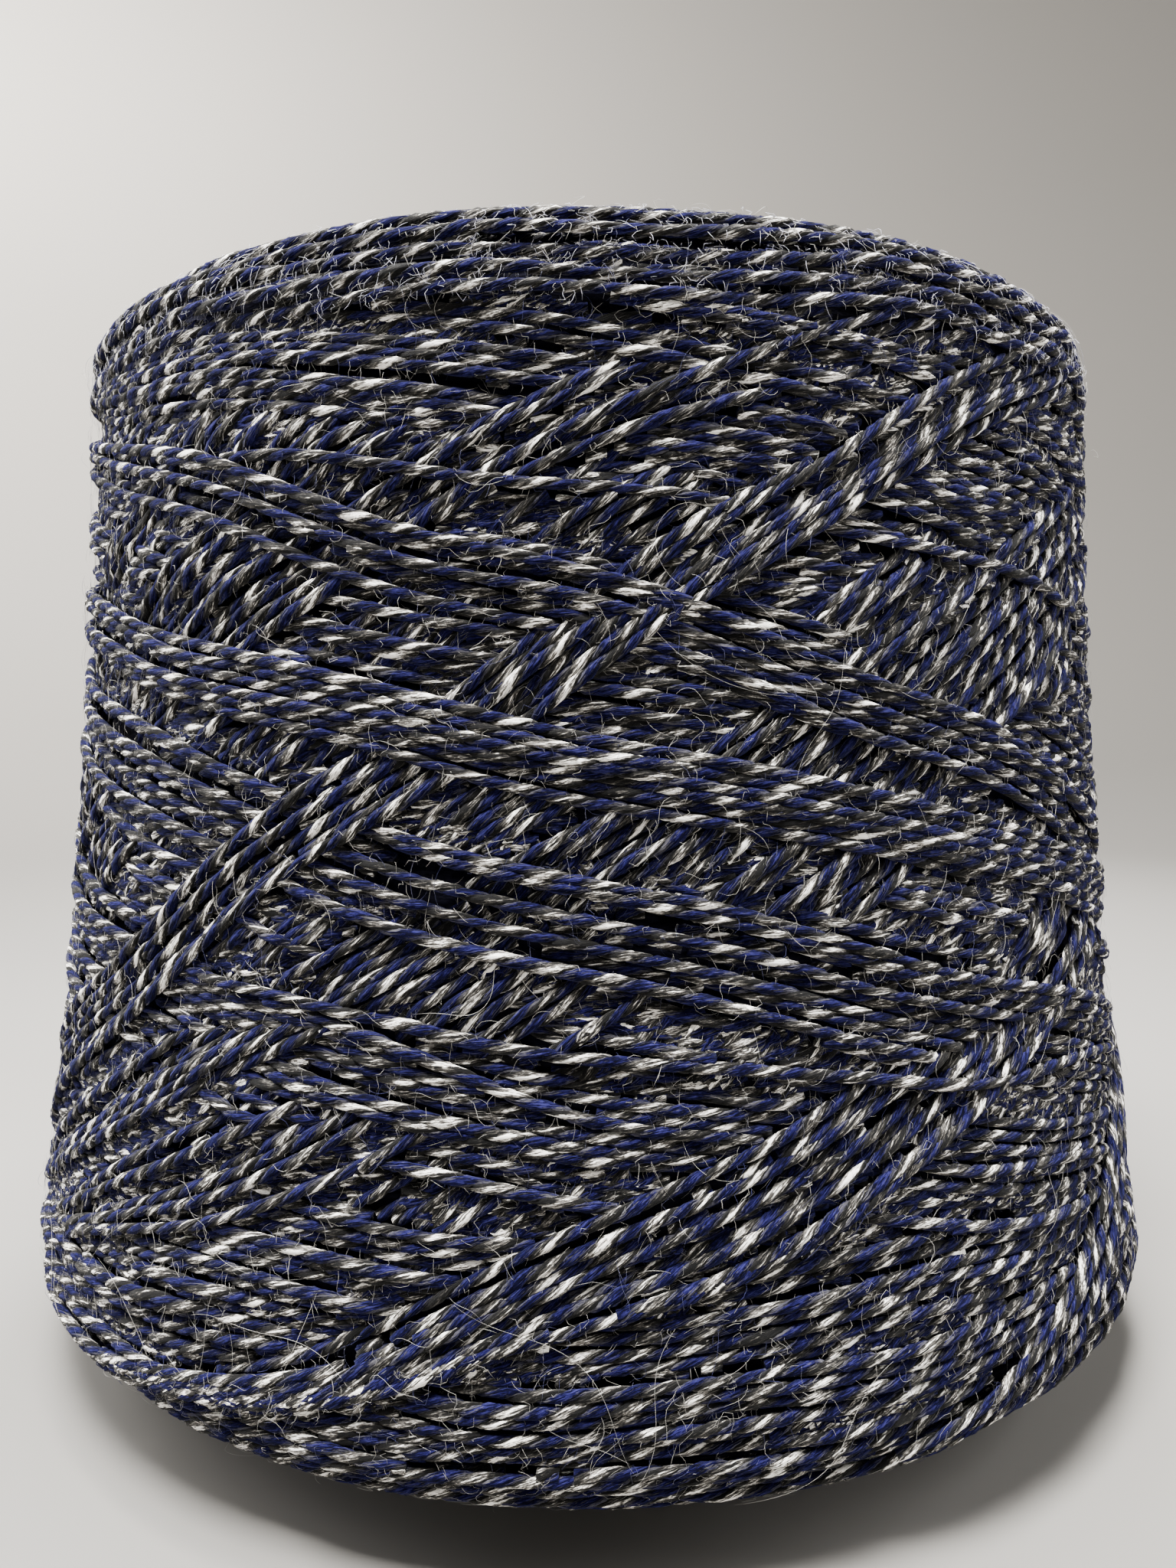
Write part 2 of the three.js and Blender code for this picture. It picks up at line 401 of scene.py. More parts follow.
def wind_strokes():
    """The path of each bundle of the one long yarn: filling bundles first, then the last ones."""
    cover = Cover()
    paths = []
    last_along, last_angle = FLANK_START, FRONT

    def follow(bundle):
        """The bundle's path, led on from where the bundle before it ended."""
        along, angle = bundle.path(last_angle)
        joined = np.append(last_along, along), np.append(last_angle, angle)
        return resample(*joined)

    for item in BUNDLE_SIZES + LAST_BUNDLES:
        if isinstance(item, int):
            shape = rng.uniform(*STEEP), rng.uniform(*SHALLOW), rng.uniform(*SPREAD)
            climbs = [(start, MIDDLE_HEIGHT) for start in rng.uniform(0, 360, TRIES)]
            tries = [follow(Bundle(item, climb, None, *shape)) for climb in climbs]
            chosen = max(tries, key=lambda path: cover.bareness(*path))
        else:
            chosen = follow(item)
        cover.add(*chosen)
        last_along, last_angle = chosen[0][-1], chosen[1][-1]
        loose = wander(len(chosen[0]), 60, 0.3) + wander(len(chosen[0]), 9, 0.1)
        paths.append((chosen[0] + sway(*chosen) + loose, chosen[1]))
    return paths


# ==== Laying: how high each strand lies on the strands below it ====

GRID = 0.4  # height of the cells of the height grid, along the outline
GRID_ROWS = int(outline.length / GRID) + 2
GRID_COLUMNS = 1400
RADIUS = YARN_DIAMETER / 2
SQUEEZE = 0.45  # how far a strand sinks into the soft strands below
PULL = 1 / 16  # curvature that the yarn's tension bends a strand to, down into a gap
BRIDGE = 0.9  # the most that a strand stands clear of what is below it
LEVEL_WIDTH = 9  # the outline is kept at this scale; what is smaller shows as relief
RELIEF_FREE = 0.5  # relief up to this much is left as it lies
RELIEF_TOP = 0.5  # soft limit of the relief beyond that, above the outline
RELIEF_DEPTH = 0.8  # below the outline it grows ever slower, at this scale
SINK = 0.1  # how far all strands are lowered at the end
BEARING = 0.55  # share of a strand's width that rests on what is below
STAMP_WIDTH = 0.96  # share over which it raises the surface
SHOWN_WIDTH = 0.9  # share on which it may show
SHOWN_MARGIN = 0.06  # it shows down to this far below what is highest
BRIDGE_LENGTH = 15  # samples averaged for the level that BRIDGE is measured from
STIFFNESS = 7  # samples over which a laid strand is averaged


def grid_places(along, angle, offset, side):
    """Rows and columns of the height grid beside a path, at an offset across it."""
    side_along, side_angle = side
    rows = np.rint((along + offset * side_along) / GRID).astype(int)
    columns = np.rint((angle + offset * side_angle) / TURN * GRID_COLUMNS).astype(int)
    return np.clip(rows, 0, GRID_ROWS - 1), columns % GRID_COLUMNS


def across(along, angle):
    """The direction across a path on the surface, per millimetre, as along and angle."""
    radius = outline.radius_at(along)
    forward_along = np.gradient(along)
    forward_round = np.gradient(angle) * radius
    length = np.hypot(forward_along, forward_round)
    return -forward_round / length, forward_along / length / radius


def lines_over(along, angle, offsets):
    """Grid places of lines beside a path, and a strand's height there over its centre."""
    side = across(along, angle)
    for offset in offsets:
        yield grid_places(along, angle, offset, side), math.sqrt(RADIUS**2 - offset**2)


def taut(floor, curvature):
    """Height of a taut string that rests on floor, on a drum of that curvature."""
    count = len(floor)
    x = np.arange(count) * SAMPLE
    bent = floor - curvature * x * x / 2
    level = bent.tolist()
    hull = []
    for i in range(count):
        while len(hull) > 1:
            a, b = hull[-2], hull[-1]
            if (level[b] - level[a]) * (i - a) <= (level[i] - level[a]) * (b - a):
                hull.pop()
            else:
                break
        hull.append(i)
    return np.interp(np.arange(count), hull, bent[hull]) + curvature * x * x / 2


def blurred(grid, width):
    """The grid averaged twice over a square of that width; its columns wrap round."""
    half = int(width / GRID / 2)
    for _ in range(2):
        for axis, mode in ((0, "edge"), (1, "wrap")):
            margins = [(0, 0), (0, 0)]
            margins[axis] = (half + 1, half)
            total = np.cumsum(np.pad(grid, margins, mode=mode), axis=axis)
            count = grid.shape[axis]
            upper = np.take(total, np.arange(count) + 2 * half + 1, axis=axis)
            lower = np.take(total, np.arange(count), axis=axis)
            grid = (upper - lower) / (2 * half + 1)
    return grid


class Laying:
    """The surface as a grid of heights, which rises as strands are laid on it."""

    def __init__(self):
        self.heights = np.zeros((GRID_ROWS, GRID_COLUMNS))

    def support(self, along, angle):
        """Height at which the centre of a path would lie on what is straight below it."""
        best = np.full(len(along), -np.inf)
        for places, rise in lines_over(along, angle, np.linspace(-BEARING, BEARING, 5) * RADIUS):
            best = np.maximum(best, self.heights[places] + rise)
        return best - SQUEEZE

    def stamp(self, along, angle, height):
        """Raises the surface to the top of a laid path."""
        offsets = np.linspace(-1, 1, 9) * RADIUS * STAMP_WIDTH
        for places, rise in lines_over(along, angle, offsets):
            np.maximum.at(self.heights, places, height + rise)

    def lay(self, along, angle):
        """Lays a path in stretches that overlap, and returns the height of its centre."""
        heights = np.zeros(len(along))
        stretch, overlap = 800, 16
        fixed = []
        for first in range(0, len(along), stretch - overlap):
            part = slice(first, min(first + stretch, len(along)))
            floor = self.support(along[part], angle[part])
            count = min(len(fixed), len(floor))
            floor[:count] = fixed[:count]
            laid = np.minimum(taut(floor, PULL), smooth(floor, BRIDGE_LENGTH) + BRIDGE)
            laid = smooth(laid, STIFFNESS)
            laid[:count] = fixed[:count]
            heights[part] = laid
            last = part.stop == len(along)
            kept = slice(part.start, part.stop if last else part.stop - overlap)
            self.stamp(along[kept], angle[kept], heights[kept])
            fixed = laid[-overlap:]
            if last:
                break
        return heights

    def shown(self, along, angle, height):
        """Where a laid path is still the highest thing on two or more lines of seven."""
        seen = np.zeros(len(along), int)
        offsets = np.linspace(-SHOWN_WIDTH, SHOWN_WIDTH, 7) * RADIUS
        for places, rise in lines_over(along, angle, offsets):
            seen += height + rise > self.heights[places] - SHOWN_MARGIN
        return seen > 1


FACE_LAYERS = 3
FACE_ARCS = 70  # on each face, in each layer
FACE_OVERLAP = 8  # how far the arcs reach past the edge of the face
ARC_REACH = (35, 60)  # half the length of an arc
ARC_TURN = 1.3  # most radians of half an arc
ARC_SLOPE = (3, 8)  # degrees, away from its tip
ARC_LEAN = 2  # degrees, as a spread
ARC_BEND = 10  # how far its tip is rounded


def face_arcs(inner, outer, count):
    """Turning points of the inner layers, which show on a face as long shallow arcs."""
    arcs = []
    for i in range(count):
        tip = inner + (outer - inner) * (i + rng.uniform(0, 1)) / count
        radius = outline.radius_at(tip)
        reach = min(rng.uniform(*ARC_REACH), radius * ARC_TURN)
        x = np.arange(-reach, reach, SAMPLE)
        slope = math.tan(math.radians(rng.uniform(*ARC_SLOPE)))
        lean = math.tan(math.radians(rng.normal(0, ARC_LEAN)))
        outwards = 1 if outer > inner else -1
        bent = np.sqrt(x * x + ARC_BEND**2) - ARC_BEND
        along = tip + outwards * bent * slope + lean * x
        angle = rng.uniform(0, TURN) + x / radius
        arcs.append((along, angle))
    return arcs


class Strand:
    """A laid path and the height of its centre over the outline."""

    def __init__(self, along, angle, height):
        self.along, self.angle, self.height = along, angle, height


def relief(height):
    """The height over the outline, softly limited above and pressed together below."""
    over = np.maximum(height - RELIEF_FREE, 0) / RELIEF_TOP
    under = np.maximum(-RELIEF_FREE - height, 0) / RELIEF_DEPTH
    middle = np.clip(height, -RELIEF_FREE, RELIEF_FREE)
    return middle + RELIEF_TOP * np.tanh(over) - RELIEF_DEPTH * np.log1p(under)


def settle(laying, strands):
    """Presses the package level under the tension of the yarn, at the scale of the outline."""
    level = blurred(laying.heights, LEVEL_WIDTH)
    laying.heights = relief(laying.heights - level)
    for strand in strands:
        places = grid_places(strand.along, strand.angle, 0, (0, 0))
        strand.height = relief(strand.height + RADIUS - level[places]) - RADIUS


CORE_GAP = RADIUS * 1.1  # from the paper cone to the nearest strand's centre


def wind_package():
    """Lays the whole yarn, from the inner turns on the faces to the last bundle."""
    laying = Laying()
    strands = []

    def lay_all(paths):
        for along, angle in paths:
            strands.append(Strand(along, angle, laying.lay(along, angle)))
        settle(laying, strands)

    first, last = FACE_START + CORE_GAP, OUTLINE_END - CORE_GAP
    for _ in range(FACE_LAYERS):
        for inner, outer in ((first, BASE_START + FACE_OVERLAP), (last, FACE_EDGE - FACE_OVERLAP)):
            arcs = face_arcs(inner, outer, FACE_ARCS)
            lay_all([(np.clip(along, first, last), angle) for along, angle in arcs])
    lay_all([under_turns()])
    for path in wind_strokes():
        lay_all([path])
    for strand in strands:
        strand.shown = laying.shown(strand.along, strand.angle, strand.height)
        strand.height = smooth(strand.height, 3) - SINK
    return strands


strands = wind_package()

# ==== Meshes of the strands ====

PLY_SIDES = 5
PLY_ANGLES = np.arange(PLY_SIDES) * TURN / PLY_SIDES  # of a ring's points, 0 outwards
RING_STEP = 2  # samples of the winding between two rings of a ply
PIECE_FACES = 90_000  # quads at which a piece is full
LEAST_SHOWN = 2  # samples; a strand that peeps out over less is left out
TUCK = 3  # samples kept past the ends of what shows
FIBRE_LIE = 0.6  # fibres follow their ply at 0 and the yarn at 1
FIBRE_RADIUS = 0.7  # of a ply in the coordinates of its fibres
PLY_APART = 40  # how far apart the two plies lie in them
STRAND_APART = 137.0  # and one strand and the next
PATTERN_LENGTH = 1500  # where they start again


def build_mesh(name, points, face_groups, material):
    """A smooth-shaded object from points in millimetres and groups of equal-sided faces."""
    loops = np.concatenate([group.ravel() for group in face_groups]).astype(np.int32)
    sizes = np.concatenate([np.full(len(group), group.shape[1]) for group in face_groups])
    starts = running_sum(sizes)[:-1].astype(np.int32)
    mesh = bpy.data.meshes.new(name)
    mesh.vertices.add(len(points))
    mesh.vertices.foreach_set("co", (points * MM).astype(np.float32).ravel())
    mesh.loops.add(len(loops))
    mesh.loops.foreach_set("vertex_index", loops)
    mesh.polygons.add(len(sizes))
    mesh.polygons.foreach_set("loop_start", starts)
    mesh.update(calc_edges=True)
    mesh.shade_smooth()
    mesh.materials.append(material)
    piece = bpy.data.objects.new(name, mesh)
    bpy.context.scene.collection.objects.link(piece)
    return piece


def unit(vectors):
    """The same vectors with length 1."""
    return vectors / np.linalg.norm(vectors, axis=-1, keepdims=True)


def ring_points(radius, height, angle):
    """Level rings of points round the axis, one for each radius and height."""
    x, y = radius[:, None] * np.cos(angle), radius[:, None] * np.sin(angle)
    return np.stack([x, y, np.repeat(height[:, None], len(angle), 1)], -1)


def ring_quads(lower, upper, sides):
    """Quads from each lower ring of points to its upper one, both given by number."""
    low, high = lower[:, None] * sides, upper[:, None] * sides
    side = np.arange(sides)[None, :]
    after = (side + 1) % sides
    return np.stack([low + side, low + after, high + after, high + side], -1).reshape(-1, 4)


def tube_faces(rings, sides):
    """Quads and two end caps of a tube whose points run ring by ring."""
    ring = np.arange(rings - 1)
    first = np.arange(sides)[::-1]
    last = (rings - 1) * sides + np.arange(sides)
    return ring_quads(ring, ring + 1, sides), np.stack([first, last])


def stretches(marked):
    """First and last sample of every run of marked samples, as rows."""
    return np.flatnonzero(np.diff(np.concatenate([[0], marked, [0]]))).reshape(-1, 2)


def visible_stretches(shown):
    """Every stretch that shows, with TUCK samples more at its ends."""
    kept = np.zeros(len(shown), int)
    for first, last in stretches(shown.astype(int)):
        if last - first >= LEAST_SHOWN:
            kept[max(first - TUCK, 0) : last + TUCK] = 1
    return stretches(kept)


def ply_tubes(strand, first, last, length_before):
    """Rings of points and their fibre coordinates, for both plies of a stretch, navy first."""
    part = slice(first, last)
    points, normals = outline.place(strand.along[part], strand.angle[part], strand.height[part])
    points, normals = points[::RING_STEP], normals[::RING_STEP]
    forward = unit(np.gradient(points, axis=0))
    normals = unit(normals - (normals * forward).sum(1, keepdims=True) * forward)
    sideways = np.cross(forward, normals)
    distance = length_before + np.arange(len(points)) * SAMPLE * RING_STEP
    phase = strand.phase[part][::RING_STEP]
    tubes = []
    for ply in range(2):
        turn = phase + ply * math.pi
        outwards = np.cos(turn)[:, None] * normals - np.sin(turn)[:, None] * sideways
        round_it = np.sin(turn)[:, None] * normals + np.cos(turn)[:, None] * sideways
        bulk = strand.bulk[ply][part][::RING_STEP, None, None]
        ring = (
            PLY_HALF_THICKNESS * np.cos(PLY_ANGLES)[None, :, None] * outwards[:, None, :]
            + PLY_HALF_WIDTH * np.sin(PLY_ANGLES)[None, :, None] * round_it[:, None, :]
        )
        rings = (points + PLY_OFFSET * outwards)[:, None, :] + ring * bulk
        lie = PLY_ANGLES[None, :] - FIBRE_LIE * phase[:, None]
        fibre = np.empty_like(rings)
        fibre[..., 0] = distance[:, None]
        fibre[..., 1] = FIBRE_RADIUS * np.cos(lie) + PLY_APART * ply
        fibre[..., 2] = FIBRE_RADIUS * np.sin(lie)
        tubes.append((rings, fibre))
    return tubes


def add_tubes(name, tubes, material):
    """Pieces of little more than PIECE_FACES quads, filled with tubes."""
    batch, quads, made = [], 0, []
    for i, tube in enumerate(tubes):
        batch.append(tube)
        quads += (len(tube[0]) - 1) * PLY_SIDES
        if quads > PIECE_FACES or i == len(tubes) - 1:
            made.append(join_tubes(f"{name}_{len(made):02d}", batch, material))
            batch, quads = [], 0
    return made


def join_tubes(name, tubes, material):
    """One piece of many tubes, with a baking map that gives each quad its own cell."""
    points, fibre = (np.concatenate(part).reshape(-1, 3) for part in zip(*tubes))
    rings = [len(part) for part, _ in tubes]
    crown = np.tile(np.cos(PLY_ANGLES), sum(rings))
    faces = [tube_faces(count, PLY_SIDES) for count in rings]
    starts = running_sum(rings) * PLY_SIDES
    quads, caps = (
        np.concatenate([part + start for part, start in zip(parts, starts)])
        for parts in zip(*faces)
    )
    bands = len(quads) // PLY_SIDES
    columns = int(math.sqrt(bands * PLY_SIDES)) + 1
    stacks = -(-bands // columns) + 1
    band, side = np.divmod(np.arange(len(quads)), PLY_SIDES)
    column, line = band % columns, band // columns * PLY_SIDES + side
    corners = np.array([[0, 0], [0, 1], [1, 1], [1, 0]])
    uv = (np.stack([column, line], -1)[:, None, :] + corners).reshape(-1, 2)
    uv = uv / np.array([columns, stacks * PLY_SIDES])
    cap_uv = np.tile([[0.5, 1 - 0.5 / stacks]], (caps.size, 1))
    piece = build_mesh(name, points, [quads, caps], material)
    layer = piece.data.attributes.new("fibre_place", "FLOAT_VECTOR", "POINT")
    layer.data.foreach_set("vector", fibre.astype(np.float32).ravel())
    layer = piece.data.attributes.new("crown", "FLOAT", "POINT")
    layer.data.foreach_set("value", crown.astype(np.float32).ravel())
    layer = piece.data.uv_layers.new(name="OFBake")
    layer.data.foreach_set("uv", np.concatenate([uv, cap_uv]).astype(np.float32).ravel())
    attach(piece, "root")
    return piece


def twist_and_bulk(strand):
    """The turn of the plies along a strand, and how thick each of them is."""
    count = len(strand.along)
    drift = wander(count, 14, 1.1)
    strand.phase = TURN * np.arange(count) * SAMPLE / PLY_PITCH + rng.uniform(0, TURN) + drift
    strand.bulk = [1 + np.clip(wander(count, 9, 0.16), -0.2, 0.25) for _ in range(2)]


def strand_tubes():
    """The navy and the grey tubes of all that shows."""
    navy, grey = [], []
    for number, strand in enumerate(strands):
        twist_and_bulk(strand)
        for first, last in visible_stretches(strand.shown):
            before = (first * SAMPLE + number * STRAND_APART) % PATTERN_LENGTH
            navy_tube, grey_tube = ply_tubes(strand, first, last, before)
            navy.append(navy_tube)
            grey.append(grey_tube)
    return navy, grey


# ==== Loose fibres ====

HAIR_SIDES = 3
HAIR_PIECE_TRIANGLES = 190_000  # most in one piece
HAIR_SPREAD = 0.85  # share of a strand's width that fibres start on
ROOT_DEPTH = 0.12  # how far under its surface they start
TOP_RIM = (143, 62)  # lowest height and least radius of the rounded rim at the top


def on_top_rim(along):
    """Whether a place on the outline is on the rounded rim at the top."""
    height = np.interp(along, outline.along, outline.height)
    return (height > TOP_RIM[0]) & (outline.radius_at(along) > TOP_RIM[1])


def hair_places(count, top_rim_only):
    """Random places over the strands that show: along, angle, height and the strand's heading."""
    chosen = [s.shown & on_top_rim(s.along) if top_rim_only else s.shown for s in strands]
    shown = [np.flatnonzero(places) for places in chosen]
    owner = np.repeat(np.arange(len(strands)), [len(s) for s in shown])
    sample = np.concatenate(shown)
    pick = rng.integers(0, len(owner), count)
    offset = rng.uniform(-HAIR_SPREAD, HAIR_SPREAD, count) * RADIUS
    along, angle, height, heading = (np.empty(count) for _ in range(4))
    for number, strand in enumerate(strands):
        mine = owner[pick] == number
        at = sample[pick][mine]
        side_along, side_angle = across(strand.along, strand.angle)
        along[mine] = strand.along[at] + offset[mine] * side_along[at]
        angle[mine] = strand.angle[at] + offset[mine] * side_angle[at]
        height[mine] = strand.height[at] + np.sqrt(RADIUS**2 - offset[mine] ** 2)
        radius = outline.radius_at(strand.along)
        heading[mine] = np.arctan2(-side_along, side_angle * radius)[at]
    return along, angle, height, heading


def hair_lines(count, length, lift, curl, rings, stray, top_rim_only):
    """Centre lines of fibres that leave the strands and curl over the surface."""
    along, angle, height, heading = hair_places(count, top_rim_only)
    flip = rng.integers(0, 2, count) * math.pi
    share = np.linspace(0, 1, rings)
    lengths = rng.uniform(*length, count)
    step = lengths / (rings - 1)
    bend = rng.normal(0, curl, count)[:, None] * share * lengths[:, None]
    wave = rng.normal(0, curl * 1.5, count)[:, None] * np.sin(
        share * rng.uniform(3, 9, count)[:, None] + rng.uniform(0, TURN, count)[:, None]
    )
    course = (heading + flip + rng.normal(0, stray, count))[:, None] + bend + wave * 3
    forward, round_it = (
        np.concatenate([np.zeros((count, 1)), np.cumsum(part * step[:, None], 1)[:, :-1]], 1)
        for part in (np.sin(course), np.cos(course))
    )
    rise = rng.gamma(1.6, lift, count)[:, None]
    loose = rng.uniform(0, 1, count)[:, None]
    profile = (1 - loose) * np.sin(math.pi * share) + loose * np.sin(math.pi / 2 * share)
    above = height[:, None] - ROOT_DEPTH + rise * profile
    path_along = np.clip(along[:, None] + forward, 1, OUTLINE_END - 1)
    path_angle = angle[:, None] + round_it / outline.radius_at(path_along)
    return outline.place(path_along, path_angle, above)


def hair_mesh(points, normals, thickness):
    """Thin tapered tubes round many centre lines of the same number of points."""
    count, rings = points.shape[:2]
    forward = unit(np.gradient(points, axis=1) + 1e-9)
    side = unit(np.cross(forward, normals))
    other = np.cross(forward, side)
    taper = np.sin(np.linspace(0.25, math.pi - 0.12, rings)) ** 0.5
    radius = rng.uniform(*thickness, count)[:, None] * taper
    beta = np.arange(HAIR_SIDES) * TURN / HAIR_SIDES
    ring = (
        np.cos(beta)[None, None, :, None] * side[:, :, None, :]
        + np.sin(beta)[None, None, :, None] * other[:, :, None, :]
    )
    tube = points[:, :, None, :] + ring * radius[:, :, None, None]
    quads, caps = tube_faces(rings, HAIR_SIDES)
    shift = (np.arange(count) * rings * HAIR_SIDES)[:, None, None]
    return tube.reshape(-1, 3), (quads + shift).reshape(-1, 4), (caps + shift).reshape(-1, 3)


def add_hair(
    name, count, material, length, lift, curl, rings, thickness, stray, top_rim_only=False
):
    """Pieces of many fibres, whose length and thickness, as a radius, are ranges.

    lift is how far they rise, curl how much they bend, and stray the spread of their angle to
    the strand that they grow from.
    """
    points, normals = hair_lines(count, length, lift, curl, rings, stray, top_rim_only)
    most = HAIR_PIECE_TRIANGLES // (rings * HAIR_SIDES * 2)
    for number, first in enumerate(range(0, count, most)):
        part = slice(first, first + most)
        tube, quads, caps = hair_mesh(points[part], normals[part], thickness)
        piece = build_mesh(f"{name}_{number:02d}", tube, [quads, caps], material)
        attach(piece, "root")


# ==== Body of yarn under the strands ====

BODY_DEPTH = 3.6  # under the outline
BODY_EDGE = 0.5  # from the ends of the outline to its first and last ring
BODY_SEGMENTS = 300
BODY_STEP = 2.0
BODY_SINK = 0.3  # into the wall of the paper cone
RIDGE_HEIGHT = 0.3


def add_body(material):
    """A closed ring of yarn from the paper cone outwards, ridged like wound strands."""
    along = np.linspace(BODY_EDGE, OUTLINE_END - BODY_EDGE, int(OUTLINE_END / BODY_STEP))
    angle = np.arange(BODY_SEGMENTS) * TURN / BODY_SEGMENTS
    grid_along, grid_angle = np.meshgrid(along, angle, indexing="ij")
    ridges = np.sin(grid_along * 2.1 + 9 * np.sin(grid_angle)) * RIDGE_HEIGHT
    depth = BODY_DEPTH * np.clip(np.minimum(grid_along, OUTLINE_END - grid_along) / 4, 0.2, 1)
    outside, _ = outline.place(grid_along, grid_angle, ridges - depth)
    inner_z = np.linspace(outside[-1, 0, 2], outside[0, 0, 2], 12)[1:-1]
    inside = ring_points(cone_radius(inner_z) - BODY_SINK, inner_z, angle)
    points = np.concatenate([outside, inside])
    ring = np.arange(len(points))
    quads = ring_quads(ring, (ring + 1) % len(points), BODY_SEGMENTS)
    piece = build_mesh("yarn_body", points.reshape(-1, 3), [quads], material)
    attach(piece, "root")
    return piece


# ==== Materials ====


class Material:
    """A Principled material and short calls for the nodes that feed it."""

    def __init__(self, name, roughness, specular=0.15, sheen=0.0, sheen_tint=(1, 1, 1)):
        self.material = bpy.data.materials.new(name)
        self.material.use_nodes = True
        self.nodes = self.material.node_tree.nodes
        self.shader = self.nodes["Principled BSDF"]
        self.feed(
            self.shader,
            {
                "Roughness": roughness,
                "Specular IOR Level": specular,
                "Sheen Weight": sheen,
                "Sheen Roughness": 0.5,
                "Sheen Tint": sheen_tint,
            },
        )

    def feed(self, node, inputs):
        """Links inputs of a node to outputs of others, or gives them values."""
        for key, value in inputs.items():
            socket = node.inputs[key]
            if isinstance(value, bpy.types.NodeSocket):
                self.material.node_tree.links.new(value, socket)
            elif socket.type == "RGBA":
                socket.default_value = (*value, 1)
            else:
                socket.default_value = value
        return node

    def add(self, kind, **inputs):
        return self.feed(self.nodes.new("ShaderNode" + kind), inputs)

    def attribute(self, name, output="Vector"):
        node = self.add("Attribute")
        node.attribute_name = name
        return node.outputs[output]

    def crown(self):
        """How far out on its ply a place is, from -1 to 1."""
        return self.attribute("crown", "Fac")

    def object_place(self):
        return self.add("TexCoord").outputs["Object"]

    def split(self, vector):
        return self.add("SeparateXYZ", Vector=vector).outputs

    def noise(self, vector, scale, detail=3.0, roughness=0.6):
        """Noise at one scale, or at three along x, y and z."""
        if isinstance(scale, tuple):
            vector = self.add("Mapping", Vector=vector, Scale=scale).outputs["Vector"]
            scale = 1
        node = self.add("TexNoise", Vector=vector, Scale=scale, Detail=detail, Roughness=roughness)
        return node.outputs["Fac"]

    def math(self, operation, a, b, clamp=False):
        node = self.add("Math")
        node.operation = operation
        node.use_clamp = clamp
        return self.feed(node, {0: a, 1: b}).outputs["Value"]

    def contrast(self, value, middle, gain, clamp=False):
        """How far a value is from the middle, times gain."""
        return self.math("MULTIPLY", self.math("SUBTRACT", value, middle), gain, clamp)

    def ramp(self, factor, stops):
        node = self.add("ValToRGB", Fac=factor)
        elements = node.color_ramp.elements
        while len(elements) < len(stops):
            elements.new(0.5)
        for element, (position, color) in zip(elements, stops):
            element.position = position
            element.color = (*color, 1)
        return node.outputs["Color"]

    def mix(self, factor, a, b):
        node = self.add("Mix")
        node.data_type = "RGBA"
        return self.feed(node, {"Factor": factor, "A": a, "B": b}).outputs["Result"]

    def color(self, source):
        self.feed(self.shader, {"Base Color": source})

    def bump(self, height, distance_mm):
        node = self.add("Bump", Strength=1.0, Distance=distance_mm * MM, Height=height)
        self.feed(self.shader, {"Normal": node.outputs["Normal"]})


THIN_SHARE = 0.65  # of the thin streaks in the fibres' noise


def fibre_noise(made):
    """Streaks that run with the fibres of a ply, at two widths, as one number round 0.5."""
    place = made.attribute("fibre_place")
    wide = made.noise(place, (0.35, 2.2, 2.2), detail=2)
    thin = made.noise(place, (0.6, 5, 5), detail=3, roughness=0.7)
    wide = made.math("MULTIPLY", wide, 1 - THIN_SHARE)
    return made.math("ADD", wide, made.math("MULTIPLY", thin, THIN_SHARE))


def navy_ply():
    """Navy fibres from nearly black to blue, with a few pale ones strayed in."""
    made = Material("navy_ply", 0.9, 0.03, 0.07, (0.25, 0.28, 0.75))
    place = made.attribute("fibre_place")
    streaks = fibre_noise(made)
    # Painted highlight and shade: a little lighter on the outer crown of each ply, darker towards
    # the other ply
    streaks_and_painted_crown_light = made.math("ADD", streaks, made.contrast(made.crown(), 0.6, 0.05))
    deep = made.ramp(
        streaks_and_painted_crown_light,
        [
            (0.43, (0.0003, 0.0003, 0.0015)),
            (0.50, (0.0015, 0.0012, 0.0105)),
            (0.55, (0.0052, 0.0045, 0.034)),
            (0.635, (0.020, 0.019, 0.080)),
        ],
    )
    pale = made.noise(place, (0.4, 5.5, 5.5), detail=3)
    strayed = made.math("ADD", pale, made.contrast(made.crown(), 0.7, -0.16))
    share = made.contrast(strayed, 0.58, 6.0, clamp=True)
    made.color(made.mix(share, deep, (0.06, 0.058, 0.065)))
    made.bump(streaks, 0.4)
    return made.material


def grey_ply():
    """Dark and pale fibres side by side, the pale ones in tufts that come and go."""
    made = Material("grey_ply", 0.75, 0.08, 0.04)
    place = made.attribute("fibre_place")
    streaks = fibre_noise(made)
    tufts = made.noise(place, (0.08, 1.0, 1.0), detail=1)
    level = made.math("ADD", made.contrast(streaks, 0.5, 1.9), made.contrast(tufts, 0.0, 1.0))
    # Painted highlight and shade: paler on the outer crown of each ply, darker where it meets the
    # other ply
    level = made.math("ADD", level, made.contrast(made.crown(), 0.7, 0.26))
    made.color(
        made.ramp(
            level,
            [
                (0.36, (0.0015, 0.0015, 0.0015)),
                (0.45, (0.018, 0.0165, 0.0145)),
                (0.58, (0.113, 0.106, 0.096)),
                (0.645, (0.47, 0.445, 0.405)),
                (0.695, (0.96, 0.93, 0.88)),
            ],
        )
    )
    made.bump(streaks, 0.4)
    return made.material


def loose_fibre(name, color):
    """Hairs of a colour that gets darker here and there."""
    made = Material(name, 0.6, sheen=0.2)
    tone = made.noise(made.object_place(), scale=400, detail=1)
    made.color(made.ramp(tone, [(0.35, tuple(0.55 * c for c in color)), (0.65, color)]))
    return made.material


